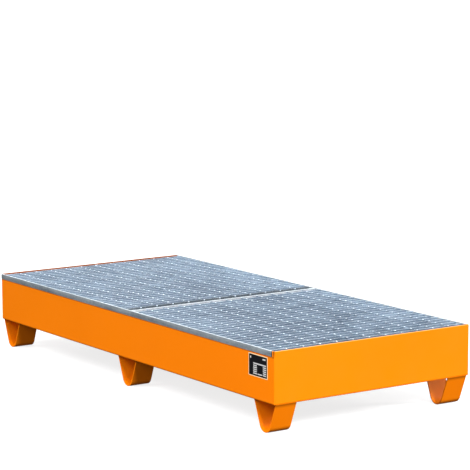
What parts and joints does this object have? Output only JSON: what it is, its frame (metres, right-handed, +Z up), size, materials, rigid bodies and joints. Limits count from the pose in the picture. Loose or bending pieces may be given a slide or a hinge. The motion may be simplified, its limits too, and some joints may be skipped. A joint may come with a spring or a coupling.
{
  "type": "spill containment pallet",
  "caption": "Long low orange steel sump tray on bent-strip feet, with two loose galvanised gratings that carry a row of drums over the sump.",
  "frame": {"origin": "centre of the pallet's outline on the floor, under the feet", "axes": "+X along the length to the end that carries the data plate, -Y to the front long face, +Z up"},
  "size_m": [1.8, 0.8008, 0.275],
  "materials": {
    "powder_coat": "orange powder coat, satin gloss",
    "galvanised": "hot-dip galvanised, light spangle",
    "plate_print": "black printed plate with a pale border and blank fields"
  },
  "bodies": {
    "tray": {"tray_shell": "powder_coat", "left_end_wall": "powder_coat", "right_end_wall": "powder_coat", "front_left_foot": "powder_coat", "front_middle_foot": "powder_coat", "front_right_foot": "powder_coat", "rear_left_foot": "powder_coat", "rear_middle_foot": "powder_coat", "rear_right_foot": "powder_coat", "data_plate": "plate_print"},
    "left_grating": {"left_bearing_bars": "galvanised", "left_cross_rods": "galvanised", "left_front_band": "galvanised", "left_rear_band": "galvanised", "left_outer_end_bar": "galvanised", "left_inner_end_bar": "galvanised"},
    "right_grating": {"right_bearing_bars": "galvanised", "right_cross_rods": "galvanised", "right_front_band": "galvanised", "right_rear_band": "galvanised", "right_outer_end_bar": "galvanised", "right_inner_end_bar": "galvanised"}
  },
  "joints": [
    {"name": "left_grating_lift", "type": "slide", "parent": "tray", "child": "left_grating", "axis": [0, 0, 1], "range_m": [0, 0.35]},
    {"name": "right_grating_lift", "type": "slide", "parent": "tray", "child": "right_grating", "axis": [0, 0, 1], "range_m": [0, 0.35]}
  ]
}
